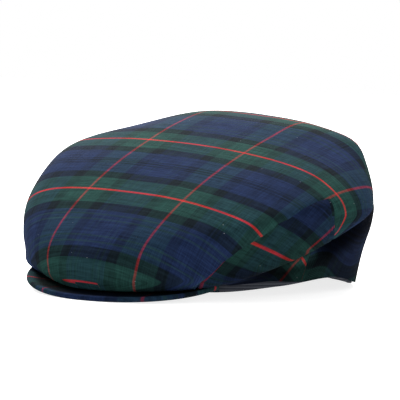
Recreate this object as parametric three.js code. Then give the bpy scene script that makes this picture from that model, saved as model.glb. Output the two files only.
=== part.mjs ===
// Flat cap in tartan cloth, as a soft shell that keeps its form and stands on a floor.
// Millimetres, +Z up, the peak towards -Y and the wearer's left towards +X.
// Angles run around the head in degrees: 0 at the front, 90 at the wearer's left, 180 at the back.

import * as THREE from 'three';

// Cloth, peak and band
const cloth = 2;
const gap = 0.3;
const peakThick = 3;
const bandThick = 2.5;
const bandHigh = 12;

// Top of the crown: a gently arched sheet that climbs to the back and leans a little to the wearer's left
const crownCentreY = 18.5;
const topHeight = 98;
const topRise = 0.33;
const topLean = -0.092;
const sagAcross = 5.7;
const sagAlong = 2.4;
const sagReach = 100;

// Sections around the crown. bulge is the widest line, tuck the fold under it and rim the head opening.
// sideRound, topRound and underRound are superellipse exponents: 2 is a plain ellipse, more is boxier.
const sections = [
  {
    deg: 0, bulgeR: 145.5, bulgeZ: 15.5, tuckIn: 5, tuckZ: 4.5,
    rimR: 104, rimZ: 9, sideRound: 4, topRound: 2.1, underRound: 2,
  },
  {
    deg: 30, bulgeR: 132.5, bulgeZ: 31, tuckIn: 15, tuckZ: 7.5,
    rimR: 97, rimZ: 3, sideRound: 4.6, topRound: 2.6, underRound: 2.6,
  },
  {
    deg: 60, bulgeR: 117.5, bulgeZ: 51, tuckIn: 20, tuckZ: 24,
    rimR: 87.6, rimZ: 6.4, sideRound: 5.2, topRound: 2.7, underRound: 3.4,
  },
  {
    deg: 90, bulgeR: 107, bulgeZ: 51.5, tuckIn: 5, tuckZ: 46,
    rimR: 84, rimZ: 9.8, sideRound: 4, topRound: 2.1, underRound: 2.5,
  },
  {
    deg: 120, bulgeR: 95.5, bulgeZ: 57, tuckIn: 0, tuckZ: 55,
    rimR: 85.6, rimZ: 2.5, sideRound: 3.4, topRound: 2.5, underRound: 2.2,
  },
  {
    deg: 150, bulgeR: 91, bulgeZ: 64, tuckIn: 1.5, tuckZ: 57,
    rimR: 85.5, rimZ: 0, sideRound: 2.3, topRound: 2.6, underRound: 2,
  },
  {
    deg: 180, bulgeR: 88, bulgeZ: 66.5, tuckIn: 1.5, tuckZ: 58,
    rimR: 85, rimZ: 0, sideRound: 2.1, topRound: 2.4, underRound: 2,
  },
];
const sectionStep = 30;

// Soft folds: out is the height in mm, at an angle and a level of the crown, with their half widths
const folds = [
  { name: 'back ridge left', deg: 126, level: 1.42, out: 3.5, wideDeg: 12, wideLevel: 0.14 },
  { name: 'back ridge right', deg: -126, level: 1.42, out: 2, wideDeg: 14, wideLevel: 0.16 },
  { name: 'shoulder right', deg: -66, level: 1.5, out: 4, wideDeg: 26, wideLevel: 0.2 },
  { name: 'pleat left', deg: 69, level: -0.18, out: 3, wideDeg: 5, wideLevel: 0.16 },
  { name: 'pleat right', deg: -69, level: -0.18, out: 3, wideDeg: 5, wideLevel: 0.16 },
  { name: 'recess left', deg: 82, level: -0.12, out: -9, wideDeg: 12, wideLevel: 0.26 },
  { name: 'recess right', deg: -82, level: -0.12, out: -9, wideDeg: 12, wideLevel: 0.26 },
  { name: 'front crease', deg: 9, level: 0.6, out: 1, wideDeg: 20, wideLevel: 0.13 },
  { name: 'front right', deg: -26, level: 0.3, out: 4.9, wideDeg: 10, wideLevel: 0.24 },
  { name: 'wall left', deg: 110, level: -0.22, out: 2.4, wideDeg: 14, wideLevel: 0.3 },
  { name: 'wall right', deg: -110, level: -0.22, out: 2.4, wideDeg: 14, wideLevel: 0.3 },
];

// Levels of the crown: -1 hem, 0 tuck, 1 bulge, 2 the middle of the top.
// The side seam leaves the hem at the peak's corner, climbs to its apex, drops to the tuck and follows it.
const seam = [
  { deg: 0, level: 0 },
  { deg: 29.4, level: 0 },
  { deg: 30, level: 0.22 },
  { deg: 31, level: 0.36 },
  { deg: 36.5, level: 0.76 },
  { deg: 45, level: 0.92 },
  { deg: 57, level: 1.04 },
  { deg: 65, level: 1.16 },
  { deg: 70.5, level: 1.23 },
  { deg: 72, level: 0.5 },
  { deg: 75, level: 0 },
  { deg: 180, level: 0 },
];
const middleLevel = 2;
const seamSlack = 0.2;
const sideStartDeg = 30;

// Hem of the side panels: it clears the band's edge at the sides and covers it at the back
const hemLiftSide = 4.6;
const hemLiftBack = 0.6;
const hemDrop = { from: 50, to: 76 };
const underClose = { from: 36, to: 40 };

// Peak: a crescent from the band's front to an edge that touches the floor near its middle.
// It lies a little askew, so its right corner stands higher than the left one.
const peakSpan = 36;
const peakReach = 55.2;
const peakLowDeg = 4;
const peakLeft = { endReach: 14.8, taper: 2.5, rise: 6.8, curl: 2.6 };
const peakRight = { endReach: 13.8, taper: 1.66, rise: 13, curl: 1.6 };
const peakDip = 2.5;
const seatFade = 10;

// Facets: column angles around the head, and levels from the tuck to the middle of the top.
// The lower rows spread between the seam and the first upper row, which keeps its level all round.
const columnSteps = [
  { to: 24, step: 6 },
  { to: 30, step: 3 },
  { to: 48, step: 2 },
  { to: 69, step: 3.5 },
  { to: 75, step: 0.75 },
  { to: 120, step: 5 },
  { to: 180, step: 7.5 },
];
const lowerRows = [0, 0.25, 0.5, 0.72, 0.88, 1, 1.07, 1.15, 1.25];
const upperRows = [1.36, 1.48, 1.6, 1.72, 1.83, 1.92, 2];
const sideRows = 7;
const peakRows = 5;

const rad = THREE.MathUtils.degToRad;
const clamp01 = (x) => THREE.MathUtils.clamp(x, 0, 1);
const foldDeg = (deg) => Math.abs(deg);

// Value of one column of the sections at any angle, mirrored about the middle of the cap
function along(column, deg) {
  const last = sections.length - 1;
  const place = foldDeg(deg) / sectionStep;
  const i = Math.min(Math.floor(place), last - 1);
  const f = place - i;
  const at = (k) => sections[k < 0 ? -k : k > last ? 2 * last - k : k][column];
  const [a, b, c, d] = [at(i - 1), at(i), at(i + 1), at(i + 2)];
  return b + 0.5 * f * (c - a + f * (2 * a - 5 * b + 4 * c - d + f * (3 * (b - c) + d - a)));
}

const rimZ = (deg) => Math.max(along('rimZ', deg), 0);
const bandR = (deg) => along('rimR', deg);

function seamLevel(deg) {
  const a = foldDeg(deg);
  const k = Math.max(1, seam.findIndex((row) => row.deg >= a));
  const [low, high] = [seam[k - 1], seam[k]];
  return low.level + ((high.level - low.level) * (a - low.deg)) / (high.deg - low.deg);
}

// A point at a radius and height on the ray of an angle
function polar(deg, r, z) {
  return new THREE.Vector3(r * Math.sin(rad(deg)), crownCentreY - r * Math.cos(rad(deg)), z);
}

// Peak: the edge's radius and height, then the lower face from the band (0) to the edge (1)
function peakEdge(deg) {
  const { endReach, taper } = deg < 0 ? peakRight : peakLeft;
  const { rise, curl } = deg < peakLowDeg ? peakRight : peakLeft;
  const out = clamp01(foldDeg(deg) / peakSpan) ** taper;
  const away = Math.abs(deg - peakLowDeg) / (deg < peakLowDeg ? peakSpan + peakLowDeg : peakSpan - peakLowDeg);
  const r = bandR(deg) + endReach + (peakReach - endReach) * (1 - out);
  return { r, z: rise * clamp01(away) ** curl };
}

function peakUnder(deg, out) {
  const edge = peakEdge(deg);
  const inner = bandR(deg) + gap;
  const z = edge.z + (rimZ(deg) - edge.z) * (1 - out) ** peakDip;
  return polar(deg, inner + (edge.r - inner) * out, z);
}

function peakTopAt(deg, r) {
  const inner = bandR(deg) + gap;
  return peakUnder(deg, clamp01((r - inner) / (peakEdge(deg).r - inner))).z + peakThick;
}

// Tuck: the fold under the bulge, which rests on the peak at the front and sinks beside its corners
function tuck(deg) {
  const r = along('bulgeR', deg) - along('tuckIn', deg);
  const free = along('tuckZ', deg);
  const lift = Math.max(peakTopAt(deg, r) + gap - free, 0);
  const beside = THREE.MathUtils.smoothstep(foldDeg(deg), peakSpan, peakSpan + seatFade);
  return { r, z: free + lift * (1 - beside) };
}

function hem(deg) {
  const back = THREE.MathUtils.smoothstep(foldDeg(deg), hemDrop.from, hemDrop.to);
  return { r: bandR(deg) + gap + cloth, z: rimZ(deg) + hemLiftSide + (hemLiftBack - hemLiftSide) * back };
}

function topSheet(x, y) {
  const back = y - crownCentreY;
  const sag = sagAcross * (x / sagReach) ** 2 + sagAlong * (back / sagReach) ** 2;
  return topHeight + topRise * back + topLean * x - sag;
}

function foldHeight(deg, level) {
  if (level >= middleLevel) return 0;
  let out = 0;
  for (const fold of folds) {
    const a = (deg - fold.deg) / fold.wideDeg;
    const b = (level - fold.level) / fold.wideLevel;
    out += fold.out * Math.exp(-a * a - b * b);
  }
  return out;
}

// The crown's skin at an angle and a level; inset moves it inwards by the thickness of the cloth
function crownPoint(deg, level, inset) {
  const fold = tuck(deg);
  const bulgeR = along('bulgeR', deg) - inset;
  const bulgeZ = along('bulgeZ', deg);
  const tuckR = fold.r - inset;
  const tuckZ = Math.min(fold.z + inset, bulgeZ - 1);
  const swell = foldHeight(deg, level);
  if (level < 0) {
    const low = hem(deg);
    const length = Math.hypot(fold.r - low.r, fold.z - low.z);
    const lowR = low.r - (inset * (fold.z - low.z)) / length;
    const lowZ = low.z + (inset * (fold.r - low.r)) / length;
    return polar(deg, tuckR + (lowR - tuckR) * -level + swell, tuckZ + (lowZ - tuckZ) * -level);
  }
  if (level < 1) {
    const turn = ((1 - level) * Math.PI) / 2;
    const power = 2 / along('underRound', deg);
    const r = tuckR + (bulgeR - tuckR) * clamp01(Math.cos(turn)) ** power;
    return polar(deg, r + swell, bulgeZ - (bulgeZ - tuckZ) * clamp01(Math.sin(turn)) ** power);
  }
  const turn = ((level - 1) * Math.PI) / 2;
  const r = bulgeR * clamp01(Math.cos(turn)) ** (2 / along('sideRound', deg));
  const rise = clamp01(Math.sin(turn)) ** (2 / along('topRound', deg));
  const spot = polar(deg, r, 0);
  const z = bulgeZ + (topSheet(spot.x, spot.y) - inset - bulgeZ) * rise;
  return polar(deg, r + swell * Math.cos(turn), z + swell * Math.sin(turn));
}

// Column angles of one half, from the front to the back
function halfColumns() {
  const degrees = [0];
  for (const { to, step } of columnSteps) {
    while (degrees.at(-1) < to - 1e-6) degrees.push(Math.min(degrees.at(-1) + step, to));
  }
  return degrees;
}

const half = halfColumns();
const fullRound = [...half.slice(1, -1).map((deg) => -deg).reverse(), ...half];

// A closed solid between an outer and an inner skin given as functions of column and row.
// wrap joins the last column to the first, and pole closes the last row to a point.
function skinSolid(columns, rowCount, outer, inner, { wrap = false, pole = false } = {}) {
  const points = [];
  const triangles = [];
  const index = (side, i, j) => (side * columns.length + (i % columns.length)) * rowCount + j;
  for (const skin of [outer, inner]) {
    for (const deg of columns) {
      for (let j = 0; j < rowCount; j++) points.push(skin(deg, j));
    }
  }
  const quad = (a, b, c, d) => {
    for (const [p, q, r] of [[a, b, c], [a, c, d]]) {
      const [u, v, w] = [points[p], points[q], points[r]];
      const flat = u.distanceTo(v) < 1e-4 || v.distanceTo(w) < 1e-4 || w.distanceTo(u) < 1e-4;
      if (!flat) triangles.push(p, q, r);
    }
  };
  const spans = wrap ? columns.length : columns.length - 1;
  const top = rowCount - 1;
  for (let i = 0; i < spans; i++) {
    for (let j = 0; j < top; j++) {
      quad(index(0, i, j), index(0, i + 1, j), index(0, i + 1, j + 1), index(0, i, j + 1));
      quad(index(1, i, j), index(1, i, j + 1), index(1, i + 1, j + 1), index(1, i + 1, j));
    }
    quad(index(0, i + 1, 0), index(0, i, 0), index(1, i, 0), index(1, i + 1, 0));
    if (!pole) quad(index(0, i, top), index(0, i + 1, top), index(1, i + 1, top), index(1, i, top));
  }
  if (!wrap) {
    for (let j = 0; j < top; j++) {
      quad(index(0, 0, j), index(0, 0, j + 1), index(1, 0, j + 1), index(1, 0, j));
      quad(index(0, spans, j + 1), index(0, spans, j), index(1, spans, j), index(1, spans, j + 1));
    }
  }
  const geometry = new THREE.BufferGeometry();
  geometry.setAttribute('position', new THREE.Float32BufferAttribute(points.flatMap((p) => p.toArray()), 3));
  geometry.setIndex(triangles);
  geometry.computeVertexNormals();
  return geometry;
}

// Top panel: from the seam up to the middle of the top
function topPanel() {
  const rows = [...lowerRows, ...upperRows];
  const fixed = upperRows[0];
  const level = (deg, j) => {
    const low = seamLevel(deg);
    return rows[j] < fixed ? low + ((fixed - low) * rows[j]) / fixed : rows[j];
  };
  const skin = (inset) => (deg, j) => crownPoint(deg, level(deg, j), inset);
  return skinSolid(fullRound, rows.length, skin(0), skin(cloth), { wrap: true, pole: true });
}

// Side panel: from the hem, or its seat on the peak, up to just below the seam
function sidePanel(side) {
  const centreBack = 180 - THREE.MathUtils.radToDeg(gap / 2 / bandR(180));
  const reach = half.filter((deg) => deg >= sideStartDeg && deg < 180).concat(centreBack);
  const columns = reach.map((deg) => side * deg).sort((a, b) => a - b);
  const upper = (deg) => {
    const a = foldDeg(deg);
    const level = Math.min(seamLevel(a - seamSlack), seamLevel(a), seamLevel(Math.min(a + seamSlack, 180)));
    const step = 0.01;
    const run = crownPoint(deg, level, 0).distanceTo(crownPoint(deg, level - step, 0)) / step;
    return level - gap / run;
  };
  const lower = (deg) => -THREE.MathUtils.smoothstep(foldDeg(deg), underClose.from, underClose.to);
  const level = (deg, j) => lower(deg) + ((upper(deg) - lower(deg)) * j) / (sideRows - 1);
  const skin = (inset) => (deg, j) => crownPoint(deg, level(deg, j), inset);
  return skinSolid(columns, sideRows, skin(0), skin(cloth));
}

function peak() {
  const columns = fullRound.filter((deg) => foldDeg(deg) <= peakSpan);
  const skin = (lift) => (deg, j) => {
    const spot = peakUnder(deg, 1 - j / (peakRows - 1));
    spot.z += lift;
    return spot;
  };
  return skinSolid(columns, peakRows, skin(peakThick), skin(0));
}

function band() {
  const skin = (inset) => (deg, j) => polar(deg, bandR(deg) - inset, rimZ(deg) + j * bandHigh);
  return skinSolid(fullRound, 2, skin(0), skin(bandThick), { wrap: true });
}

const tartanCloth = { color: 0x1f2a44, roughness: 0.95, metalness: 0 };
const bandCloth = { color: 0x3d4257, roughness: 0.9, metalness: 0 };

function piece(name, geometry, look) {
  const mesh = new THREE.Mesh(geometry, new THREE.MeshStandardMaterial(look));
  mesh.name = name;
  return mesh;
}

const cap = new THREE.Group();
cap.add(
  piece('top_panel', topPanel(), tartanCloth),
  piece('side_panel_left', sidePanel(1), tartanCloth),
  piece('side_panel_right', sidePanel(-1), tartanCloth),
  piece('peak', peak(), tartanCloth),
  piece('band', band(), bandCloth),
);

// The origin is on the floor, in the middle of the cap's outline seen from above
const outline = new THREE.Box3().setFromObject(cap);
const middle = outline.getCenter(new THREE.Vector3());
cap.position.set(-middle.x, -middle.y, -outline.min.z);

export default cap;
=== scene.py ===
import bpy
import numpy as np
from mathutils import Matrix, Vector


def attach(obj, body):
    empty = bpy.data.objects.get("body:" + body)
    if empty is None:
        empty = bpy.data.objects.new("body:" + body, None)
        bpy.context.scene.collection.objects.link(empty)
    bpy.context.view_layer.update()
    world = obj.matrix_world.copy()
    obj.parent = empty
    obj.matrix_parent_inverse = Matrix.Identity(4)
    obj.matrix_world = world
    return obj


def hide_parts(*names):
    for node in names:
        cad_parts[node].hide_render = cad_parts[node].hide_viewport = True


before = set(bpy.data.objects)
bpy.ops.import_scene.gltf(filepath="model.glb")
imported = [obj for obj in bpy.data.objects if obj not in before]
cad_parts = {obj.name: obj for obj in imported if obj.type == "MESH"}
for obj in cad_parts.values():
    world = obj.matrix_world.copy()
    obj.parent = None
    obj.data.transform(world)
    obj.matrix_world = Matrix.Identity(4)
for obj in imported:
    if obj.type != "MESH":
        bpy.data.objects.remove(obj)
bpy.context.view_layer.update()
print("frame loaded:", ", ".join(sorted(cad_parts)))

mm = 0.001
turnDeg = np.pi / 180

# Crown sections every 30 degrees from the front (0) round to the back (180), alike on both sides, in mm
crown = {
    "step": 30.0,
    "centreY": 35.6,
    "bulgeR": (145.5, 132.5, 117.5, 107.0, 95.5, 91.0, 88.0),  # widest line
    "bulgeZ": (15.5, 31.0, 51.0, 51.5, 57.0, 64.0, 66.5),
    "tuckIn": (5.0, 15.0, 20.0, 5.0, 0.0, 1.5, 1.5),  # fold under the widest line
    "tuckZ": (4.5, 7.5, 24.0, 46.0, 55.0, 57.0, 58.0),
    "rimR": (104.0, 97.0, 87.6, 84.0, 85.6, 85.5, 85.0),  # head opening
    "rimZ": (9.0, 3.0, 6.4, 9.8, 2.5, 0.0, 0.0),
    "sideRound": (4.0, 4.6, 5.2, 4.0, 3.4, 2.3, 2.1),  # 2 is an ellipse, more is boxier
    "topRound": (2.1, 2.6, 2.7, 2.1, 2.5, 2.6, 2.4),
    "underRound": (2.0, 2.6, 3.4, 2.5, 2.2, 2.0, 2.0),
    "hemLift": (4.6, 0.6),  # wall's lower edge above the opening's edge, in front and behind
    "hemFall": (50.0, 76.0),  # degrees between which it falls
    "topHeight": 98.0,
    "topRise": 0.33,
    "topLean": -0.092,
    "sagAcross": 5.7,
    "sagAlong": 2.4,
    "sagReach": 100.0,
    "thick": 2.0,
    "gap": 0.3,
}

# Soft folds: angle, level, height in mm, half width in degrees and in levels
softFolds = {
    "backRidgeLeft": (126, 1.42, 3.5, 12, 0.14),
    "backRidgeRight": (-126, 1.42, 2.0, 14, 0.16),
    "shoulderRight": (-66, 1.5, 4.0, 26, 0.2),
    "pleatLeft": (69, -0.18, 3.0, 5, 0.16),
    "pleatRight": (-69, -0.18, 3.0, 5, 0.16),
    "recessLeft": (82, -0.12, -9.0, 12, 0.26),
    "recessRight": (-82, -0.12, -9.0, 12, 0.26),
    "frontCrease": (9, 0.6, 1.0, 20, 0.13),
    "frontRight": (-26, 0.3, 4.9, 10, 0.24),
    "wallLeft": (110, -0.22, 2.4, 14, 0.3),
    "wallRight": (-110, -0.22, 2.4, 14, 0.3),
}

# Peak: it lies a little askew, so its right corner stands higher; left and right values by side
peak = {
    "span": 36.0,
    "lowDeg": 4.0,
    "reach": 55.2,
    "left": {"endReach": 14.8, "taper": 2.5, "rise": 6.8, "curl": 2.6},
    "right": {"endReach": 13.8, "taper": 1.66, "rise": 13.0, "curl": 1.6},
    "dip": 2.5,
    "seatFade": 10.0,
    "thick": 3.0,
}


# Smooth curve through the section values, mirrored at the front and the back
def along(name, deg):
    values = np.array(crown[name])
    last = len(values) - 1
    place = np.abs(deg) / crown["step"]
    i = np.minimum(np.floor(place).astype(int), last - 1)
    f = place - i

    def at(k):
        k = np.abs(k)
        return values[np.where(k > last, 2 * last - k, k)]

    a, b, c, d = at(i - 1), at(i), at(i + 1), at(i + 2)
    return b + 0.5 * f * (c - a + f * (2 * a - 5 * b + 4 * c - d + f * (3 * (b - c) + d - a)))


# Step from 0 to 1 between start and end, level at both
def smooth(x, start, end):
    t = np.clip((x - start) / (end - start), 0, 1)
    return t * t * (3 - 2 * t)


# Height of the opening's edge, never under the floor
def rimHeight(deg):
    return np.maximum(along("rimZ", deg), 0)


# Point at a radius and a height on the ray of an angle
def polar(deg, r, z):
    return np.stack([r * np.sin(deg * turnDeg), crown["centreY"] - r * np.cos(deg * turnDeg), z], -1)


# Length along each line of points from its first one
def runLength(points):
    step = np.linalg.norm(np.diff(points, axis=-2), axis=-1)
    first = np.zeros(step.shape[:-1] + (1,))
    return np.concatenate([first, np.cumsum(step, -1)], -1)


# Peak edge: a crescent that is longest in the middle and lifts at its corners in power curves
def peakEdge(deg):
    def bySide(key, split):
        return np.where(deg < split, peak["right"][key], peak["left"][key])

    low = peak["lowDeg"]
    out = np.minimum(np.abs(deg) / peak["span"], 1) ** bySide("taper", 0)
    end = bySide("endReach", 0)
    half = np.where(deg < low, peak["span"] + low, peak["span"] - low)
    lift = np.minimum(np.abs(deg - low) / half, 1) ** bySide("curl", low)
    return along("rimR", deg) + end + (peak["reach"] - end) * (1 - out), bySide("rise", low) * lift


# Lower face of the peak from the band (0) to its edge (1), falling in a power curve
def peakUnder(deg, out):
    edgeR, edgeZ = peakEdge(deg)
    inner = along("rimR", deg) + crown["gap"]
    z = edgeZ + (rimHeight(deg) - edgeZ) * (1 - out) ** peak["dip"]
    return inner + (edgeR - inner) * out, z


# Fold under the widest line; over the peak it rests on the peak's top, beside it it sinks
def tuckLine(deg):
    r = along("bulgeR", deg) - along("tuckIn", deg)
    free = along("tuckZ", deg)
    edgeR, _ = peakEdge(deg)
    inner = along("rimR", deg) + crown["gap"]
    _, under = peakUnder(deg, np.clip((r - inner) / (edgeR - inner), 0, 1))
    lift = np.maximum(under + peak["thick"] + crown["gap"] - free, 0)
    return r, free + lift * (1 - smooth(np.abs(deg), peak["span"], peak["span"] + peak["seatFade"]))


# Lower edge of the wall: just outside the band and above the opening's edge, higher in front
def hemLine(deg):
    front, rear = crown["hemLift"]
    lift = front - (front - rear) * smooth(np.abs(deg), *crown["hemFall"])
    return along("rimR", deg) + crown["gap"] + crown["thick"], rimHeight(deg) + lift


# Sum of the soft folds, each a round hill or hollow; none in the middle of the top, where all angles meet
def foldHeight(deg, level):
    out = np.zeros(np.broadcast(deg, level).shape)
    for foldDeg, foldLevel, height, wideDeg, wideLevel in softFolds.values():
        away = ((deg - foldDeg) / wideDeg) ** 2 + ((level - foldLevel) / wideLevel) ** 2
        out = out + height * np.exp(-away)
    return np.where(level >= 2, 0, out)


# Skin of the crown at an angle and a level: -1 hem, 0 tuck, 1 widest line, 2 middle of the top.
# Below the tuck it is a straight wall, from 0 to 1 a superellipse that turns under,
# from 1 to 2 a superellipse that closes onto the arched, sloping sheet of the top.
def crownSkin(deg, level, inset):
    deg, level, inset = np.broadcast_arrays(*(np.asarray(v, float) for v in (deg, level, inset)))
    foldR, foldZ = tuckLine(deg)
    hemR, hemZ = hemLine(deg)
    bulgeR = along("bulgeR", deg) - inset
    bulgeZ = along("bulgeZ", deg)
    tuckR = foldR - inset
    tuckZ = np.minimum(foldZ + inset, bulgeZ - 1)
    swell = foldHeight(deg, level)

    length = np.hypot(foldR - hemR, foldZ - hemZ)
    lowR = hemR - inset * (foldZ - hemZ) / length
    lowZ = hemZ + inset * (foldR - hemR) / length
    wallR = tuckR - (lowR - tuckR) * level + swell
    wallZ = tuckZ - (lowZ - tuckZ) * level

    turn = (1 - np.clip(level, 0, 1)) * np.pi / 2
    power = 2 / along("underRound", deg)
    underR = tuckR + (bulgeR - tuckR) * np.clip(np.cos(turn), 0, 1) ** power + swell
    underZ = bulgeZ - (bulgeZ - tuckZ) * np.clip(np.sin(turn), 0, 1) ** power

    turn = (np.clip(level, 1, 2) - 1) * np.pi / 2
    domeR = bulgeR * np.clip(np.cos(turn), 0, 1) ** (2 / along("sideRound", deg))
    rise = np.clip(np.sin(turn), 0, 1) ** (2 / along("topRound", deg))
    across = domeR * np.sin(deg * turnDeg)
    back = -domeR * np.cos(deg * turnDeg)
    sheet = crown["topHeight"] + crown["topRise"] * back + crown["topLean"] * across
    sheet = sheet - crown["sagAcross"] * (across / crown["sagReach"]) ** 2
    sheet = sheet - crown["sagAlong"] * (back / crown["sagReach"]) ** 2
    domeZ = bulgeZ + (sheet - inset - bulgeZ) * rise

    r = np.where(level < 0, wallR, np.where(level < 1, underR, domeR + swell * np.cos(turn)))
    z = np.where(level < 0, wallZ, np.where(level < 1, underZ, domeZ + swell * np.sin(turn)))
    return polar(deg, r, z)


# Side seam by angle and level: it leaves the peak's corner, climbs to its apex,
# drops to the tuck and follows it to the back
seam = {
    "deg": (0, 29.4, 30, 31, 36.8, 40.8, 45.2, 51, 55, 60.4, 65.8, 71.4, 72.4, 75.5, 180),
    "level": (0, 0, 0.26, 0.42, 0.80, 0.91, 0.96, 1.0, 1.03, 1.19, 1.26, 1.275, 0.86, 0, 0),
    "startDeg": 30.0,
    "samples": ((30, 70, 90), (70.1, 75, 60), (76, 180, 90)),  # from, to, count
    "groove": 0.3,
    "grooveWide": 1.1,
    "pucker": 0.2,
    "puckerLength": 9.0,
    "puckerDrift": 13.0,
    "puckerFrom": 2.0,
    "puckerReach": 6.0,
}

# Gentle unevenness of the cloth: heights, and lengths for one radian of each wave, in mm
unevenCloth = {
    "swell": 0.3,
    "swellAcross": 19.0,
    "swellAlong": 24.0,
    "swellPhase": (1.1, 0.3),
    "ripple": 0.22,
    "rippleLength": 15.0,
    "rippleClimb": 0.6,
}


def seamLevel(deg):
    return np.interp(np.abs(deg), seam["deg"], seam["level"])


# Distance in mm from each point to the seam, and the place along the seam of the nearest spot
def seamDistance(points):
    samples = np.concatenate([np.linspace(*span) for span in seam["samples"]])
    line = crownSkin(samples, seamLevel(samples), 0)
    run = runLength(line)
    line[:, 0] = np.abs(line[:, 0])
    flat = points.reshape(-1, 3).copy()
    flat[:, 0] = np.abs(flat[:, 0])
    square = (flat ** 2).sum(1)[:, None] - 2 * flat @ line.T + (line ** 2).sum(1)[None, :]
    near = square.argmin(1)
    distance = np.sqrt(np.maximum(square[np.arange(len(flat)), near], 0))
    return distance.reshape(points.shape[:2]), run[near].reshape(points.shape[:2])


# Small relief of sewn cloth in mm: the groove and puckers of the seam, and a gentle unevenness all over
def clothRelief(points):
    distance, run = seamDistance(points)
    x, y, z = points[..., 0], points[..., 1], points[..., 2]
    groove = -seam["groove"] * np.exp(-(distance / seam["grooveWide"]) ** 2)
    gathered = np.exp(-(distance / seam["puckerReach"]) ** 2)
    gathered = gathered * (1 - np.exp(-(distance / seam["puckerFrom"]) ** 2))
    wave = 2 * np.pi * run / seam["puckerLength"] + np.sin(run / seam["puckerDrift"])
    pucker = seam["pucker"] * np.sin(wave) * gathered
    phaseAcross, phaseAlong = unevenCloth["swellPhase"]
    swell = np.sin(x / unevenCloth["swellAcross"] + phaseAcross)
    swell = unevenCloth["swell"] * swell * np.sin(y / unevenCloth["swellAlong"] + phaseAlong)
    slant = (x - y + unevenCloth["rippleClimb"] * z) / unevenCloth["rippleLength"]
    return groove + pucker + swell + unevenCloth["ripple"] * np.sin(slant)


# Columns of one half of the cap in degrees, from spans of (from, to, count):
# close together at the seam's corners and at the ends of the low red line
def columnDegrees():
    front = ((0, 0.95, 1), (0.95, 1, 1), (1, 6.9, 5), (6.9, 6.95, 1), (6.95, 28, 18))
    sides = ((28, 40, 26), (40, 66, 28), (66, 77, 44), (77, 130, 44), (130, 180, 32))
    spans = [np.linspace(*span, endpoint=False) for span in front + sides]
    return np.concatenate(spans + [[180.0]])


# One half mirrored to the wearer's right, as a column of angles all round
def allRound(half):
    return np.concatenate([-half[1:-1][::-1], half])[:, None]


# Mesh from a grid of points in mm, column by row, with the cloth places as a UV map
# and painted light and shade for the folds as a point attribute. Open loops get a face at both ends.
def gridPiece(name, points, places, paintedLightShade=None, wrapColumns=False, wrapRows=False, sharpRows=()):
    columns, rows = points.shape[:2]
    index = np.arange(columns * rows).reshape(columns, rows)
    across = np.concatenate([index, index[:1]]) if wrapColumns else index
    grid = np.concatenate([across, across[:, :1]], axis=1) if wrapRows else across
    quads = np.stack([grid[:-1, :-1], grid[1:, :-1], grid[1:, 1:], grid[:-1, 1:]], -1).reshape(-1, 4)
    faces = quads.tolist()
    if wrapRows and not wrapColumns:
        faces += [index[0].tolist(), index[-1][::-1].tolist()]
    mesh = bpy.data.meshes.new(name)
    mesh.from_pydata((points.reshape(-1, 3) * mm).tolist(), [], faces)
    corner = np.zeros(len(mesh.loops), int)
    mesh.loops.foreach_get("vertex_index", corner)
    cloth = mesh.uv_layers.new(name="cloth")
    cloth.data.foreach_set("uv", places.reshape(-1, 2)[corner].astype(np.float32).ravel())
    # Painted light and shade per point, 1 where none is painted
    light = np.ones(columns * rows) if paintedLightShade is None else paintedLightShade.ravel()
    mesh.attributes.new("paintedShading", "FLOAT", "POINT").data.foreach_set("value", light.astype(np.float32))
    mesh.polygons.foreach_set("use_smooth", np.ones(len(mesh.polygons), bool))
    ends = np.zeros(len(mesh.edges) * 2, int)
    mesh.edges.foreach_get("vertices", ends)
    row = ends.reshape(-1, 2) % rows
    sharp = (row[:, 0] == row[:, 1]) & np.isin(row[:, 0], sharpRows)
    mesh.attributes.new("sharp_edge", "BOOLEAN", "EDGE").data.foreach_set("value", sharp)
    mesh.update()
    piece = bpy.data.objects.new(name, mesh)
    bpy.context.scene.collection.objects.link(piece)
    return piece


threadColours = {
    "red": (0.33, 0.021, 0.020),
    "green": (0.0098, 0.0325, 0.0285),
    "black": (0.0042, 0.0076, 0.0106),
    "navy": (0.0080, 0.0150, 0.0425),
    "deepNavy": (0.0044, 0.0080, 0.0180),
    "tealLine": (0.0100, 0.0222, 0.0350),
}

# Tartan, counted in setts: 0 is a red line and 1 the next one.
# Bands as (end, thread) from a red line to half way; every other sett has lines in its navy.
tartan = {
    "sett": 71.4,
    "opening": ((0.0112, "red"), (0.187, "green"), (0.29, "black")),
    "plainNavy": ((0.452, "navy"), (0.470, "deepNavy"), (0.486, "navy"), (0.5, "deepNavy")),
    "linedNavy": ((0.332, "navy"), (0.352, "tealLine"), (0.396, "navy"), (0.414, "tealLine"), (0.5, "navy")),
    "soft": 0.006,
    "lineReach": 0.04,
    "weftShare": 0.70,
    "weftSwing": 0.5,
}


# Change of a red line's width: places beside it are stretched (thinner) or, below 0, squeezed (wider)
def lineWidth(place, beside, change):
    return place + change * beside * np.exp(-(beside / tartan["lineReach"]) ** 2)


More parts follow.
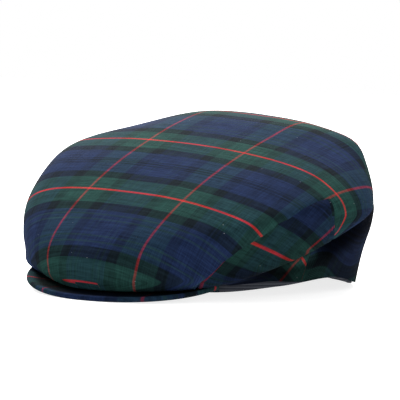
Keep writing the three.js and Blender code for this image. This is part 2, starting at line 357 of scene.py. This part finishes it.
topCloth = {
    "turn": 3.9,  # degrees between the cloth and the middle of the cap
    "redAcross": 34.9,  # places of the first red lines in mm
    "redAlong": -103.6,
    "settAcross": 72.8,
    "settAlong": 71.2,
    "settFront": 74.2,
    "looseFrom": (0.95, 1.0),  # the lowest red line shows only here, beside it the cloth is pulled under
    "looseTo": (6.9, 6.95),
    "tuckLevel": (0.2, 0.6),
    "tuckDeg": 4.0,
    "tuckWide": 40.0,
    "tuckPull": 15.0,
    "lowLineThin": 0.6,
    "rearEase": 0.09,  # the last line lies just beyond the top
    "easeAlong": (1.4, 1.95),
    "easeAcross": (-0.1, 0.25),
    "rowsTop": 46,
    "rowsSide": 58,
    "rowsEdge": 5,
    "rowsInside": 22,
    "firstRow": 1.36,  # level between the rows of the top and of the side
    "sidePower": 1.25,  # rows are closer towards the seam
    "insidePower": 0.6,
    "reliefFade": 0.3,
    # Gather at the seam's lower end, in degrees of turn above and below the widest line
    "gather": {"deg": 78.0, "wide": 14.0, "upper": 1.6, "upperFade": (1.3, 1.7), "lower": 16.0},
    # Lip of the front, brightened with painted light: the slot over the peak shades it too much
    "lip": {"gain": 0.8, "level": (0.3, 0.7), "deg": 8.0, "wide": 36.0},
}


# Extra turn of the cloth in degrees, where it is gathered at the seam beside the apex
def gatherTurn(deg, level):
    gather = topCloth["gather"]
    near = np.exp(-((np.abs(deg) - gather["deg"]) / gather["wide"]) ** 2)
    turn = gather["upper"] * (1 - smooth(level, *gather["upperFade"]))
    turn = turn + gather["lower"] * np.clip(1 - level, 0, 1)
    return np.sign(deg) * near * turn


# Painted light on the top cloth: 1, and more on the lip of the front
def frontPaintedLight(deg, level):
    lip = topCloth["lip"]
    low = 1 - smooth(level, *lip["level"])
    return 1 + lip["gain"] * low * np.exp(-((deg - lip["deg"]) / lip["wide"]) ** 4)


# Places of the top cloth in setts: polar about the middle of the top, by the length over the skin.
# At the front the cloth is pulled under beside the low red line, at the rear it is eased.
def topPlaces(deg, level, reach):
    angle = (deg - topCloth["turn"] + gatherTurn(deg, level)) * turnDeg
    across = (reach * np.sin(angle) - topCloth["redAcross"]) / topCloth["settAcross"]
    ahead = -reach * np.cos(angle) - topCloth["redAlong"]
    loose = smooth(deg, *topCloth["looseFrom"]) * (1 - smooth(deg, *topCloth["looseTo"]))
    tucked = (1 - loose) * (1 - smooth(level, *topCloth["tuckLevel"]))
    tucked = tucked * np.exp(-((deg - topCloth["tuckDeg"]) / topCloth["tuckWide"]) ** 4)
    ahead = ahead + topCloth["tuckPull"] * tucked
    lengthwise = ahead / np.where(ahead < 0, topCloth["settFront"], topCloth["settAlong"])
    lengthwise = lineWidth(lengthwise, lengthwise + 1, topCloth["lowLineThin"])
    eased = smooth(lengthwise, *topCloth["easeAlong"]) * smooth(across, *topCloth["easeAcross"])
    return np.stack([across, lengthwise - topCloth["rearEase"] * eased], -1)


# Top cloth: columns are angles; each runs from the middle of the top down to the seam,
# round the cloth's edge and back up inside, one cloth's thickness in
def makeTopCloth():
    deg = allRound(columnDegrees())
    first = topCloth["firstRow"]
    spread = np.linspace(0, np.cos((first - 1) * np.pi / 2) ** 0.5, topCloth["rowsTop"])
    upper = 1 + np.arccos(spread ** 2) * 2 / np.pi
    low = seamLevel(deg)
    fall = np.linspace(0, 1, topCloth["rowsSide"] + 1)[1:]
    fall = 1 - (1 - fall) ** topCloth["sidePower"]
    lower = first + (low - first) * fall[None, :]
    outside = np.concatenate([np.repeat(upper[None, :], len(deg), 0), lower], 1)
    rise = np.linspace(0, 1, topCloth["rowsInside"])[None, :] ** topCloth["insidePower"]
    inner = 2 - (2 - low) * (1 - rise)
    edge = np.repeat(low, topCloth["rowsEdge"], 1)
    level = np.concatenate([outside, edge, inner], 1)

    base = crownSkin(deg, outside, 0)
    relief = clothRelief(base) * smooth(2 - outside, 0, topCloth["reliefFade"])
    depth = crown["thick"]
    bend = np.linspace(0, 1, topCloth["rowsEdge"] + 2)[1:-1]
    edgeInset = -relief[:, -1:] + (depth + relief[:, -1:]) * bend[None, :]
    inset = np.concatenate([-relief, edgeInset, np.full(inner.shape, depth)], 1)
    points = crownSkin(deg, level, inset)

    down = runLength(base)
    back = np.stack([np.interp(inner[i], outside[i][::-1], down[i][::-1]) for i in range(len(deg))])
    reach = np.concatenate([down, np.repeat(down[:, -1:], topCloth["rowsEdge"], 1), back], 1)
    places = topPlaces(deg, level, reach)
    border = outside.shape[1] - 1
    # Painted light on the lip of the front
    paintedLightShade = frontPaintedLight(deg, level)
    return gridPiece("topCloth", points, places, paintedLightShade, wrapColumns=True, sharpRows=[border])


sideCloth = {
    "underClose": (36.0, 40.0),
    "seamClear": 0.0003,  # levels, keeps the two cloths' edges apart
    "rows": 46,
    "rowsEdge": 5,
    "rowsInside": 16,
    "sett": 73.5,
    "settRear": 112.0,
    "rearUpright": 95.0,
    "rearTurn": (10.0, 70.0),
    "slope": 0.735,
    "runDeg": 28.0,  # the run around the head is measured from here, on this level
    "runLevel": 0.7,
    "railLevels": (-1, 1.3, 231),  # from, to, count
    "redWide": 0.35,
    # Red lines as run around the head and height above the widest line: one falls and ends, two climb
    "fallingRun": (38.0, 94.0, 94.6, 150.0),
    "fallingHeight": (-5.8, -46.0, -66.0, -66.0),
    "climbHeight": (-60.0, -41.6, -21.0, 10.0),
    "frontRun": (0.0, 2.0, 7.8, 44.0),
    "rearRun": (69.0, 83.3, 78.4, 123.0),
    # Painted shade: how much light each fold takes, and the levels and degrees between which it sets in; lit
    # is the share left on the whole side cloth, and the pleat gets painted light
    "lit": 0.75,
    "wall": {"less": 0.29, "level": (-0.1, 0.4), "deg": (34, 44)},
    "nook": {"less": 0.86, "level": (0, 0.2), "deg": (40, 52), "soft": 0.4},
    "nookDepth": {"front": 0.42, "less": 0.36, "deg": (80, 118)},
    "front": {"less": 0.6, "level": (0.48, 0.62), "deg": (60, 68)},
    "below": {"less": 0.22, "level": (0.5, 0.95), "foot": (-0.1, 0.1)},
    "pleat": {"lit": 1.1, "share": 0.85, "deg": 68.5, "wide": 8.0, "level": -0.32, "high": 0.2},
}


# Painted shade: the share of the light left in the folds, multiplied into the cloth's colour: the wall under
# the overhang, the recess behind the apex, the wall's foot in front and the cloth below the widest line. The
# small pleat comes forward and gets painted light.
def sidePaintedShadeAndLight(deg, level):
    wall, nook, depth, front, below, pleat = (
        sideCloth[key] for key in ("wall", "nook", "nookDepth", "front", "below", "pleat")
    )
    paintedLightShade = sideCloth["lit"] - wall["less"] * (1 - smooth(level, *wall["level"])) * smooth(deg, *wall["deg"])
    deep = depth["front"] - depth["less"] * smooth(deg, *depth["deg"])
    recess = (1 - smooth(-level, deep, deep + nook["soft"])) * (1 - smooth(level, *nook["level"]))
    paintedLightShade = paintedLightShade * (1 - nook["less"] * recess * smooth(deg, *nook["deg"]))
    foot = smooth(-level, *front["level"]) * (1 - smooth(deg, *front["deg"]))
    paintedLightShade = paintedLightShade * (1 - front["less"] * foot)
    under = (1 - smooth(level, *below["level"])) * smooth(level, *below["foot"])
    paintedLightShade = paintedLightShade * (1 - below["less"] * under)
    away = ((deg - pleat["deg"]) / pleat["wide"]) ** 2 + ((level - pleat["level"]) / pleat["high"]) ** 2
    return paintedLightShade + (pleat["lit"] - paintedLightShade) * pleat["share"] * np.exp(-away)


# Places of the side cloth in setts, from the run around the head and the height above the widest line.
# The first counts from the front climbing line to the rear one and on, the second from the falling line.
def sidePlaces(deg, level):
    onLevel = sideCloth["runLevel"]
    before = crownSkin(sideCloth["runDeg"], onLevel, 0) - crownSkin(seam["startDeg"], onLevel, 0)
    run = np.linalg.norm(before) + runLength(crownSkin(deg[:, 0], np.full(len(deg), onLevel), 0))
    run = np.repeat(run[:, None], level.shape[1], 1)
    fine = np.linspace(*sideCloth["railLevels"])
    climbed = runLength(crownSkin(deg, fine[None, :], 0))
    widest = np.abs(fine - 1).argmin()
    climbed = climbed - climbed[:, widest][:, None]
    height = np.stack([np.interp(level[i], fine, climbed[i]) for i in range(len(deg))])

    front = np.interp(height, sideCloth["climbHeight"], sideCloth["frontRun"])
    rear = np.interp(height, sideCloth["climbHeight"], sideCloth["rearRun"])
    past = rear + (sideCloth["rearUpright"] - rear) * smooth(run - rear, *sideCloth["rearTurn"])
    between = (run - front) / (rear - front)
    across = np.where(run < rear, between, 1 + (run - past) / sideCloth["settRear"])
    across = lineWidth(across, across - np.round(across), -sideCloth["redWide"])
    ahead = np.minimum(run - sideCloth["fallingRun"][0], 0) * sideCloth["slope"]
    falling = np.interp(run, sideCloth["fallingRun"], sideCloth["fallingHeight"]) - ahead
    lengthwise = (height - falling) / np.hypot(1, sideCloth["slope"]) / sideCloth["sett"]
    return np.stack([across, lengthwise], -1)


# Side cloth: a loop from the hem up the outside to the seam, round the edge and down the inside.
# The wearer's right side (-1) turns its columns round, so that its faces point outwards too.
def makeSideCloth(name, side):
    half = columnDegrees()
    deg = (side * half[half >= seam["startDeg"]])[:, None]
    low = -smooth(np.abs(deg), *sideCloth["underClose"])
    high = seamLevel(deg) - sideCloth["seamClear"]
    outside = low + (high - low) * np.linspace(0, 1, sideCloth["rows"])[None, :]
    inner = high + (low - high) * np.linspace(0, 1, sideCloth["rowsInside"])[None, :]
    bend = np.linspace(0, 1, sideCloth["rowsEdge"] + 2)[1:-1]
    overTop = np.repeat(high, len(bend), 1)
    underHem = np.repeat(low, len(bend), 1)
    level = np.concatenate([outside, overTop, inner, underHem], 1)

    relief = clothRelief(crownSkin(deg, outside, 0))
    depth = crown["thick"]
    topEdge = -relief[:, -1:] + (depth + relief[:, -1:]) * bend[None, :]
    hemEdge = depth - (depth + relief[:, :1]) * bend[None, :]
    inset = np.concatenate([-relief, topEdge, np.full(inner.shape, depth), hemEdge], 1)
    # The third grid is painted shade in the folds and painted light on the pleat
    grids = (crownSkin(deg, level, inset), sidePlaces(deg, level), sidePaintedShadeAndLight(np.abs(deg), level))
    points, places, paintedLightShade = (grid[::side] for grid in grids)
    return gridPiece(name, points, places, paintedLightShade, wrapRows=True, sharpRows=[0, sideCloth["rows"] - 1])


peakCloth = {
    "columns": 130,
    "rows": 26,
    "rowsRound": 9,
    "edgePower": 6,  # how late the top turns in to the round edge
    "redAt": -12.3,
    "redStep": 61.0,
    "redAcross": -86.4,
    "turn": 0.45,  # slope of the cross line, the cloth lies askew
    "slotPaintedShadow": 0.12,  # painted shadow: the slot under the crown is dark, this share of the light
    "litOut": (0.80, 0.95),  # painted shadow fades out between these, at the right corner
    "litLess": (0.13, 0.05),  # and this much further out in front
    "frontDeg": (-20.0, 0.0),
    # Painted shade: the whole peak takes this share of the light
    "peakPaintedShade": 0.85,
}


# Peak: a loop over the top from the band to the edge, round the edge and back underneath
def makePeak():
    deg = np.linspace(-peak["span"], peak["span"], peakCloth["columns"])[:, None]
    out = np.linspace(0, 1, peakCloth["rows"])[None, :]
    r, z = peakUnder(deg, out)
    halfThick = peak["thick"] / 2
    edgeR, edgeZ = peakEdge(deg)
    turn = np.linspace(0, np.pi, peakCloth["rowsRound"] + 2)[None, 1:-1]
    roundR = edgeR - halfThick + halfThick * np.sin(turn)
    roundZ = edgeZ + halfThick + halfThick * np.cos(turn)
    r = r - halfThick * out ** peakCloth["edgePower"]
    allR = np.concatenate([r, roundR, r[:, ::-1]], 1)
    allZ = np.concatenate([z + peak["thick"], roundZ, z[:, ::-1]], 1)
    points = polar(np.repeat(deg, allR.shape[1], 1), allR, allZ)

    run = edgeR * deg * turnDeg
    across = np.repeat((run - peakCloth["redAt"]) / peakCloth["redStep"], allR.shape[1], 1)
    slant = points[..., 1] - peakCloth["turn"] * points[..., 0]
    lengthwise = (slant - peakCloth["redAcross"]) / np.hypot(1, peakCloth["turn"]) / tartan["sett"]
    # Painted shadow on the peak's top in the slot under the crown, fading out towards the edge
    front = smooth(deg, *peakCloth["frontDeg"])
    litFrom, litFull = (o + less * front for o, less in zip(peakCloth["litOut"], peakCloth["litLess"]))
    dark = peakCloth["slotPaintedShadow"]
    paintedLightShade = np.ones(allR.shape)
    paintedLightShade[:, :peakCloth["rows"]] = dark + (1 - dark) * smooth(out, litFrom, litFull)
    paintedLightShade = paintedLightShade * peakCloth["peakPaintedShade"]
    return gridPiece("peakCloth", points, np.stack([across, lengthwise], -1), paintedLightShade, wrapRows=True)


headBand = {
    "high": 12.0,
    "thick": 2.5,
    "halfColumns": 160,
    "rows": 40,
    "ribs": 11,
    "rib": 0.12,
}


# Head band: a loop of a ribbed outer face, from the lower edge up, and a plain inner face down again
def makeHeadBand():
    deg = allRound(np.linspace(0, 180, headBand["halfColumns"]))
    climb = np.linspace(0, 1, headBand["rows"])[None, :]
    rib = headBand["rib"] * (np.abs(np.sin(np.pi * headBand["ribs"] * climb)) - 1)
    outR = along("rimR", deg) + rib
    outZ = rimHeight(deg) + headBand["high"] * climb
    inR = np.repeat(along("rimR", deg) - headBand["thick"], headBand["rows"], 1)
    r = np.concatenate([outR, inR], 1)
    z = np.concatenate([outZ, outZ[:, ::-1]], 1)
    points = polar(np.repeat(deg, r.shape[1], 1), r, z)
    run = along("rimR", deg) * deg * turnDeg
    places = np.stack([np.repeat(run, r.shape[1], 1) / tartan["sett"], z / tartan["sett"]], -1)
    return gridPiece("headBand", points, places, wrapColumns=True, wrapRows=True)


# Node with its settings; each named input gets a link or a value
def addNode(tree, kind, sockets=None, **settings):
    node = tree.nodes.new(kind)
    for key, value in settings.items():
        setattr(node, key, value)
    for key, value in (sockets or {}).items():
        if isinstance(value, bpy.types.NodeSocket):
            tree.links.new(value, node.inputs[key])
        else:
            node.inputs[key].default_value = value
    return node


def maths(tree, operation, first, second=0.0, third=0.0, clamp=False):
    sockets = {0: first, 1: second, 2: third}
    return addNode(tree, "ShaderNodeMath", sockets, operation=operation, use_clamp=clamp).outputs[0]


def mixColour(tree, factor, first, second, blend="MIX"):
    sockets = {0: factor, 6: first, 7: second}
    return addNode(tree, "ShaderNodeMix", sockets, data_type="RGBA", blend_type=blend).outputs[2]


def groupNode(tree, group, sockets):
    return addNode(tree, "ShaderNodeGroup", sockets, node_tree=group)


def newGroup(name, inputs, outputs):
    group = bpy.data.node_groups.new(name, "ShaderNodeTree")
    for label, kind in inputs:
        group.interface.new_socket(label, in_out="INPUT", socket_type=kind)
    for label, kind in outputs:
        group.interface.new_socket(label, in_out="OUTPUT", socket_type=kind)
    return group, group.nodes.new("NodeGroupInput"), group.nodes.new("NodeGroupOutput")


def opaque(colour):
    return (*colour, 1.0)


# Colour ramp from bands of (end, thread) with soft borders; the ramp's 0 to 1 is half a sett
def bandRamp(tree, place, bands):
    ramp = addNode(tree, "ShaderNodeValToRGB", {0: place})
    stops = ramp.color_ramp.elements
    soft = tartan["soft"]
    wanted = [(0.0, bands[0][1])]
    for (end, thread), (_, after) in zip(bands, bands[1:]):
        wanted += [(end * 2 - soft, thread), (end * 2 + soft, after)]
    while len(stops) < len(wanted):
        stops.new(0.5)
    for stop, (position, thread) in zip(stops, wanted):
        stop.position = position
        stop.color = opaque(threadColours[thread])
    return ramp.outputs[0]


# Bands of the tartan along one direction; odd and even setts carry different thin lines in the navy
def makeSettGroup():
    group, start, end = newGroup("settBands", [("Place", "NodeSocketFloat")], [("Color", "NodeSocketColor")])
    place = start.outputs["Place"]
    away = maths(group, "MULTIPLY", maths(group, "PINGPONG", place, 0.5), 2.0)
    odd = maths(group, "FLOORED_MODULO", maths(group, "FLOOR", place), 2.0)
    plain = bandRamp(group, away, tartan["opening"] + tartan["plainNavy"])
    lined = bandRamp(group, away, tartan["opening"] + tartan["linedNavy"])
    group.links.new(mixColour(group, odd, plain, lined), end.inputs["Color"])
    return group


# Twill ridges by the sett, and streaks of uneven threads: across, along and wider ones
twill = {
    "perSett": 76.0,
    "streaks": ((6.0, 90.0, 1.0), (90.0, 6.0, 1.0), (2.5, 36.0, 1.0)),
    "streakDetail": 2.0,
}


# Twill: a wave along the diagonal from 0 to 1, and the mean of the streaks
def makeTwillGroup():
    value = "NodeSocketFloat"
    group, start, end = newGroup(
        "twillWeave", [("Place", "NodeSocketVector")], [("Ridge", value), ("Streak", value)]
    )
    place = start.outputs["Place"]
    split = addNode(group, "ShaderNodeSeparateXYZ", {0: place})
    diagonal = maths(group, "ADD", split.outputs[0], split.outputs[1])
    wave = maths(group, "SINE", maths(group, "MULTIPLY", diagonal, twill["perSett"] * 2 * np.pi))
    group.links.new(maths(group, "MULTIPLY_ADD", wave, 0.5, 0.5), end.inputs["Ridge"])
    total = 0.0
    for scale in twill["streaks"]:
        stretched = addNode(group, "ShaderNodeMapping", {"Vector": place, "Scale": scale}).outputs[0]
        sockets = {"Vector": stretched, "Scale": 1.0, "Detail": twill["streakDetail"]}
        total = maths(group, "ADD", addNode(group, "ShaderNodeTexNoise", sockets).outputs[0], total)
    mean = maths(group, "MULTIPLY", total, 1 / len(twill["streaks"]))
    group.links.new(mean, end.inputs["Streak"])
    return group


lint = {
    "perSett": 16.0,
    "share": 0.2,  # of the cells hold a speck
    "size": 0.075,
    "strength": 0.35,
    "colour": (0.45, 0.5, 0.52),
}


# Lint: sparse pale specks of fluff on the nap, one round speck in some of the cells
def makeLintGroup():
    group, start, end = newGroup(
        "lintSpecks", [("Place", "NodeSocketVector")], [("Mask", "NodeSocketFloat")]
    )
    sockets = {"Vector": start.outputs["Place"], "Scale": lint["perSett"]}
    cells = addNode(group, "ShaderNodeTexVoronoi", sockets, feature="F1")
    chosen = addNode(group, "ShaderNodeSeparateColor", {0: cells.outputs["Color"]})
    rare = maths(group, "LESS_THAN", chosen.outputs[0], lint["share"])
    size = maths(group, "MULTIPLY", chosen.outputs[1], lint["size"])
    speck = maths(group, "LESS_THAN", cells.outputs["Distance"], size)
    group.links.new(maths(group, "MULTIPLY", rare, speck), end.inputs["Mask"])
    return group


settGroup = makeSettGroup()
twillGroup = makeTwillGroup()
lintGroup = makeLintGroup()

clothFinish = {
    "roughness": 0.92,
    "specular": 0.011,
    "streakGain": 3.4,  # light and dark streaks: gain and offset on their mean
    "streakOffset": -0.7,
    "streakRelief": 1.5,
    "bump": 0.5,
    "bumpHeight": 0.0002,
}


# Material with the cloth places at hand
def newMaterial(name, tint):
    material = bpy.data.materials.new(name)
    material.use_nodes = True
    material.diffuse_color = opaque(tint)
    tree = material.node_tree
    place = addNode(tree, "ShaderNodeUVMap", uv_map="cloth").outputs[0]
    return material, tree, tree.nodes["Principled BSDF"], place


# Fine relief of the weave as a bump
def addBump(tree, shader, strength, height):
    sockets = {"Strength": strength, "Distance": clothFinish["bumpHeight"], "Height": height}
    tree.links.new(addNode(tree, "ShaderNodeBump", sockets).outputs[0], shader.inputs["Normal"])


# Woven tartan: warp bands by the first cloth place, weft bands by the second, mixed thread by thread,
# then streaks, lint and the painted light and shade of the folds
def makeTartan(name):
    material, tree, shader, place = newMaterial(name, threadColours["navy"])
    split = addNode(tree, "ShaderNodeSeparateXYZ", {0: place})
    warp = groupNode(tree, settGroup, {"Place": split.outputs[0]}).outputs["Color"]
    weft = groupNode(tree, settGroup, {"Place": split.outputs[1]}).outputs["Color"]
    weave = groupNode(tree, twillGroup, {"Place": place})
    ridge, streak = weave.outputs["Ridge"], weave.outputs["Streak"]
    swing = maths(tree, "MULTIPLY", maths(tree, "SUBTRACT", ridge, 0.5), tartan["weftSwing"])
    share = maths(tree, "ADD", swing, tartan["weftShare"], clamp=True)
    colour = mixColour(tree, share, warp, weft)
    tone = maths(tree, "MULTIPLY_ADD", streak, clothFinish["streakGain"], clothFinish["streakOffset"])
    grey = addNode(tree, "ShaderNodeCombineColor", {0: tone, 1: tone, 2: tone}).outputs[0]
    colour = mixColour(tree, 1.0, colour, grey, "MULTIPLY")
    specks = groupNode(tree, lintGroup, {"Place": place}).outputs["Mask"]
    pale = maths(tree, "MULTIPLY", specks, lint["strength"])
    colour = mixColour(tree, pale, colour, opaque(lint["colour"]))
    # Painted shade and light of the folds, from the point attribute, multiplied into the colour
    paintedShadingColour = addNode(tree, "ShaderNodeAttribute", attribute_name="paintedShading").outputs["Color"]
    colour = mixColour(tree, 1.0, colour, paintedShadingColour, "MULTIPLY")
    tree.links.new(colour, shader.inputs["Base Color"])
    shader.inputs["Roughness"].default_value = clothFinish["roughness"]
    shader.inputs["Specular IOR Level"].default_value = clothFinish["specular"]
    height = maths(tree, "MULTIPLY_ADD", streak, clothFinish["streakRelief"], ridge)
    addBump(tree, shader, clothFinish["bump"], height)
    return material


bandFinish = {
    "tint": (0.16, 0.17, 0.22),
    "dark": (0.004, 0.005, 0.009),
    "pale": (0.07, 0.075, 0.09),
    "ribsPerSett": 80.0,
    "ribShare": 0.6,
    "streakShare": 0.5,
    "roughness": 0.85,
    "bump": 0.6,
}


# Band cloth: fine ribs along the band, from dark to pale, broken up by streaks
def makeBandCloth():
    material, tree, shader, place = newMaterial("bandCloth", bandFinish["tint"])
    split = addNode(tree, "ShaderNodeSeparateXYZ", {0: place})
    climb = maths(tree, "MULTIPLY", split.outputs[1], bandFinish["ribsPerSett"])
    rib = maths(tree, "MULTIPLY", maths(tree, "PINGPONG", climb, 1.0), bandFinish["ribShare"])
    streak = groupNode(tree, twillGroup, {"Place": place}).outputs["Streak"]
    tone = maths(tree, "MULTIPLY_ADD", streak, bandFinish["streakShare"], rib)
    colour = mixColour(tree, tone, opaque(bandFinish["dark"]), opaque(bandFinish["pale"]))
    tree.links.new(colour, shader.inputs["Base Color"])
    shader.inputs["Roughness"].default_value = bandFinish["roughness"]
    shader.inputs["Specular IOR Level"].default_value = clothFinish["specular"]
    addBump(tree, shader, bandFinish["bump"], tone)
    return material


top = makeTopCloth()
leftSide = makeSideCloth("sideClothLeft", 1)
rightSide = makeSideCloth("sideClothRight", -1)
pieces = (
    (top, "top_panel", "top_cloth", makeTartan("topTartan")),
    (leftSide, "side_panel_left", "side_cloth_left", makeTartan("sideTartanLeft")),
    (rightSide, "side_panel_right", "side_cloth_right", makeTartan("sideTartanRight")),
    (makePeak(), "peak", "peak_cloth", makeTartan("peakTartan")),
    (makeHeadBand(), "band", "band_cloth", makeBandCloth()),
)
for piece, node, slot, material in pieces:
    piece.data.materials.append(material)
    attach(piece, "root")
    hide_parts(node)
    print("made", piece.name, len(piece.data.polygons), "faces")

# Studio: a pale floor that glows, one broad lamp from behind and above, and white light all round
studio = {
    "white": (1.0, 1.0, 1.0, 1.0),
    "floor": (0.45, 0.45, 0.45, 1.0),
    "floorGlow": 0.8,  # a lit floor, the photograph shows almost no shadow on it
    "floorHalf": 60.0,
    "ambient": 1.0,
    "from": (-0.62, 0.58, 0.74),
    "spread": 55.0,
    "power": 12.5,
}


def makeFloor():
    half = studio["floorHalf"]
    mesh = bpy.data.meshes.new("floor")
    corners = [(-half, -half, 0), (half, -half, 0), (half, half, 0), (-half, half, 0)]
    mesh.from_pydata(corners, [], [(0, 1, 2, 3)])
    floor = bpy.data.objects.new("floor", mesh)
    bpy.context.scene.collection.objects.link(floor)
    material = bpy.data.materials.new("floorPaper")
    material.use_nodes = True
    shader = material.node_tree.nodes["Principled BSDF"]
    shader.inputs["Base Color"].default_value = studio["floor"]
    shader.inputs["Emission Color"].default_value = studio["white"]
    shader.inputs["Emission Strength"].default_value = studio["floorGlow"]
    shader.inputs["Roughness"].default_value = 1.0
    shader.inputs["Specular IOR Level"].default_value = 0.0
    mesh.materials.append(material)


def makeLight():
    lamp = bpy.data.lights.new("overhead", "SUN")
    lamp.energy = studio["power"]
    lamp.angle = studio["spread"] * turnDeg
    light = bpy.data.objects.new("overhead", lamp)
    light.rotation_mode = "QUATERNION"
    light.rotation_quaternion = Vector(studio["from"]).to_track_quat("Z", "Y")
    bpy.context.scene.collection.objects.link(light)


def makeWorld():
    world = bpy.data.worlds.new("studioWhite")
    world.use_nodes = True
    background = world.node_tree.nodes["Background"]
    background.inputs["Color"].default_value = studio["white"]
    background.inputs["Strength"].default_value = studio["ambient"]
    bpy.context.scene.world = world


makeFloor()
makeLight()
makeWorld()
bpy.context.scene.view_settings.view_transform = "Standard"
print("studio ready")

# Camera: the photograph's angle, a long lens a little above the floor, rolled a touch
view = {
    "azimuth": 36.4,
    "elevation": 4.2,
    "roll": 2.5,
    "distance": 1.1,
    "target": (0.0, 0.0171, 0.045),
    "focal": 1727.0,  # in pixels of a 400 pixel frame
    "frame": 400.0,
    "centre": (205.0, 211.2),  # the pixel of the target
    "sensor": 36.0,
}


# Camera axes from the two angles, then turned by the roll; the lens shift puts the target at the centre
def makeCamera():
    a, e, r = (view[key] * turnDeg for key in ("azimuth", "elevation", "roll"))
    back = np.array([np.sin(a) * np.cos(e), -np.cos(a) * np.cos(e), np.sin(e)])
    right = np.array([np.cos(a), np.sin(a), 0])
    up = np.cross(back, right)
    across = np.cos(r) * right + np.sin(r) * up
    upward = np.cos(r) * up - np.sin(r) * right
    place = np.array(view["target"]) + back * view["distance"]
    lens = bpy.data.cameras.new("camera")
    lens.sensor_width = view["sensor"]
    lens.lens = view["focal"] / view["frame"] * view["sensor"]
    lens.shift_x = 0.5 - view["centre"][0] / view["frame"]
    lens.shift_y = view["centre"][1] / view["frame"] - 0.5
    camera = bpy.data.objects.new("camera", lens)
    rows = np.stack([across, upward, back, place], 1).tolist()
    camera.matrix_world = Matrix(rows + [[0, 0, 0, 1]])
    bpy.context.scene.collection.objects.link(camera)
    bpy.context.scene.camera = camera


makeCamera()
print("camera ready")
